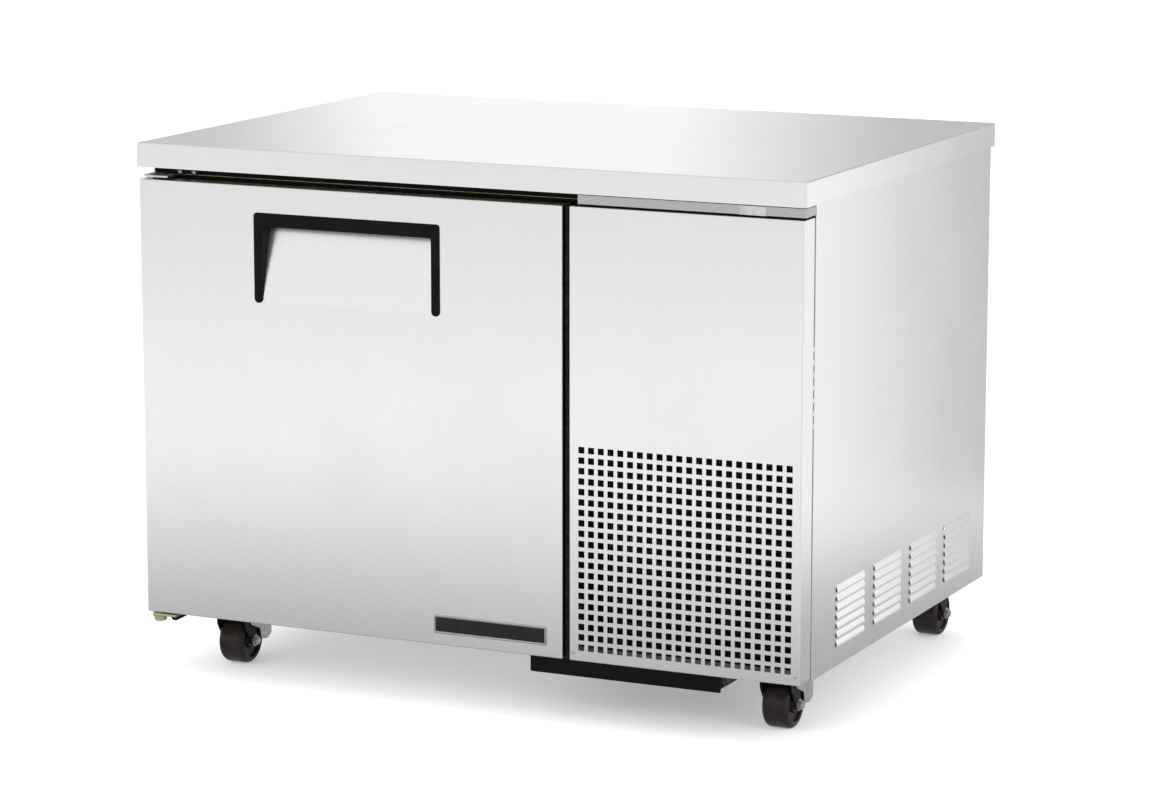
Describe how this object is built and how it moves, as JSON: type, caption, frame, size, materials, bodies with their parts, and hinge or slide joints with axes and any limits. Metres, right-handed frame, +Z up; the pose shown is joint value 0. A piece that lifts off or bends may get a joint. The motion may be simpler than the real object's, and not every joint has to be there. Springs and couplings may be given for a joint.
{
  "type": "undercounter refrigerator",
  "caption": "Low stainless steel refrigerator with a left door, a punched grille on the right and swivel castors.",
  "frame": {"origin": "on the floor, under the middle of the worktop", "axes": "+X to the right along the width, +Y to the back along the depth, +Z up; the door and grille face -Y"},
  "size_m": [1.13, 0.823, 0.856],
  "materials": {
    "stainless_steel": "satin",
    "galvanised_steel": "satin",
    "zinc_plate": "satin",
    "aluminium": "satin",
    "copper": "polished",
    "black_plastic": "satin",
    "black_paint": "satin",
    "badge": "gloss",
    "white_liner": "satin",
    "grey_vinyl": "matte",
    "foam": "matte",
    "wheel_rubber": "satin",
    "coated_wire": "gloss"
  },
  "bodies": {
    "cabinet": {"worktop": "stainless_steel", "insulated_body": "foam", "inner_liner": "aluminium", "door_frame": "black_plastic", "left_side_panel": "stainless_steel", "right_side_panel": "stainless_steel", "rear_panel": "galvanised_steel", "bottom_panel": "galvanised_steel", "top_front_rail": "black_plastic", "grille_top_channel": "stainless_steel", "mullion_trim": "black_plastic", "supply_inlet": "black_plastic", "grille_panel": "stainless_steel", "hinge_bracket_top": "zinc_plate", "hinge_bracket_bottom": "zinc_plate", "machine_deck": "galvanised_steel", "compressor": "black_paint", "compressor_terminal_cover": "black_plastic", "condenser_coil": "black_paint", "condenser_shroud": "galvanised_steel", "condenser_fan_motor": "black_paint", "suction_line": "copper", "liquid_line_drier": "copper", "control_box": "galvanised_steel", "evaporator_cover": "aluminium", "evaporator_coil": "aluminium", "evaporator_fan_motor": "black_paint", "pilaster_left_front": "aluminium", "pilaster_left_rear": "aluminium", "pilaster_right_front": "aluminium", "pilaster_right_rear": "aluminium", "shelf_lower": "coated_wire", "shelf_upper": "coated_wire", "pan_hanger": "black_paint", "castor_plate_front_left": "zinc_plate", "castor_plate_front_right": "zinc_plate", "castor_plate_rear_left": "zinc_plate", "castor_plate_rear_right": "zinc_plate"},
    "door": {"door_skin": "stainless_steel", "door_foam_core": "foam", "door_inner_liner": "white_liner", "door_gasket": "grey_vinyl", "handle_bezel": "black_plastic", "handle_scoop": "stainless_steel", "door_badge": "badge", "hinge_cartridge": "zinc_plate"},
    "condenser_fan": {"condenser_fan": "aluminium"},
    "evaporator_fan": {"evaporator_fan": "black_plastic"},
    "thermostat_knob": {"thermostat_knob": "black_plastic"},
    "condensate_pan": {"condensate_pan": "black_paint"},
    "fork_front_left": {"fork_front_left": "black_paint"},
    "wheel_front_left": {"wheel_front_left": "wheel_rubber"},
    "brake_lever_left": {"brake_lever_left": "zinc_plate"},
    "fork_front_right": {"fork_front_right": "black_paint"},
    "wheel_front_right": {"wheel_front_right": "wheel_rubber"},
    "brake_lever_right": {"brake_lever_right": "zinc_plate"},
    "fork_rear_left": {"fork_rear_left": "black_paint"},
    "wheel_rear_left": {"wheel_rear_left": "wheel_rubber"},
    "fork_rear_right": {"fork_rear_right": "black_paint"},
    "wheel_rear_right": {"wheel_rear_right": "wheel_rubber"}
  },
  "joints": [
    {"name": "door_hinge", "type": "hinge", "parent": "cabinet", "child": "door", "pos_m": [-0.549, -0.392, 0.1], "axis": [0, 0, -1], "range_deg": [0, 115], "stiffness_Nm_per_rad": 1.2, "springref_deg": -20.05},
    {"name": "condenser_fan_spin", "type": "hinge", "parent": "cabinet", "child": "condenser_fan", "pos_m": [0.372, -0.246, 0.285], "axis": [0, 1, 0], "continuous": true},
    {"name": "evaporator_fan_spin", "type": "hinge", "parent": "cabinet", "child": "evaporator_fan", "pos_m": [-0.255, 0.176, 0.678], "axis": [0, 1, 0], "continuous": true},
    {"name": "thermostat_turn", "type": "hinge", "parent": "cabinet", "child": "thermostat_knob", "pos_m": [0.01, 0.165, 0.678], "axis": [0, -1, 0], "range_deg": [0, 300]},
    {"name": "condensate_pan_slide", "type": "slide", "parent": "cabinet", "child": "condensate_pan", "axis": [0, -1, 0], "range_m": [0, 0.28]},
    {"name": "swivel_front_left", "type": "hinge", "parent": "cabinet", "child": "fork_front_left", "pos_m": [-0.467, -0.301, 0.0875], "axis": [0, 0, 1], "continuous": true},
    {"name": "roll_front_left", "type": "hinge", "parent": "fork_front_left", "child": "wheel_front_left", "pos_m": [-0.467, -0.279, 0.0375], "axis": [-1, 0, 0], "continuous": true},
    {"name": "brake_left", "type": "hinge", "parent": "fork_front_left", "child": "brake_lever_left", "pos_m": [-0.467, -0.289, 0.074], "axis": [-1, 0, 0], "range_deg": [0, 12], "stiffness_Nm_per_rad": 0.3, "springref_deg": -20.05},
    {"name": "swivel_front_right", "type": "hinge", "parent": "cabinet", "child": "fork_front_right", "pos_m": [0.482, -0.301, 0.0875], "axis": [0, 0, 1], "continuous": true},
    {"name": "roll_front_right", "type": "hinge", "parent": "fork_front_right", "child": "wheel_front_right", "pos_m": [0.482, -0.279, 0.0375], "axis": [-1, 0, 0], "continuous": true},
    {"name": "brake_right", "type": "hinge", "parent": "fork_front_right", "child": "brake_lever_right", "pos_m": [0.482, -0.289, 0.074], "axis": [-1, 0, 0], "range_deg": [0, 12], "stiffness_Nm_per_rad": 0.3, "springref_deg": -20.05},
    {"name": "swivel_rear_left", "type": "hinge", "parent": "cabinet", "child": "fork_rear_left", "pos_m": [-0.467, 0.35, 0.0875], "axis": [0, 0, 1], "continuous": true},
    {"name": "roll_rear_left", "type": "hinge", "parent": "fork_rear_left", "child": "wheel_rear_left", "pos_m": [-0.467, 0.372, 0.0375], "axis": [-1, 0, 0], "continuous": true},
    {"name": "swivel_rear_right", "type": "hinge", "parent": "cabinet", "child": "fork_rear_right", "pos_m": [0.482, 0.35, 0.0875], "axis": [0, 0, 1], "continuous": true},
    {"name": "roll_rear_right", "type": "hinge", "parent": "fork_rear_right", "child": "wheel_rear_right", "pos_m": [0.482, 0.372, 0.0375], "axis": [-1, 0, 0], "continuous": true}
  ]
}
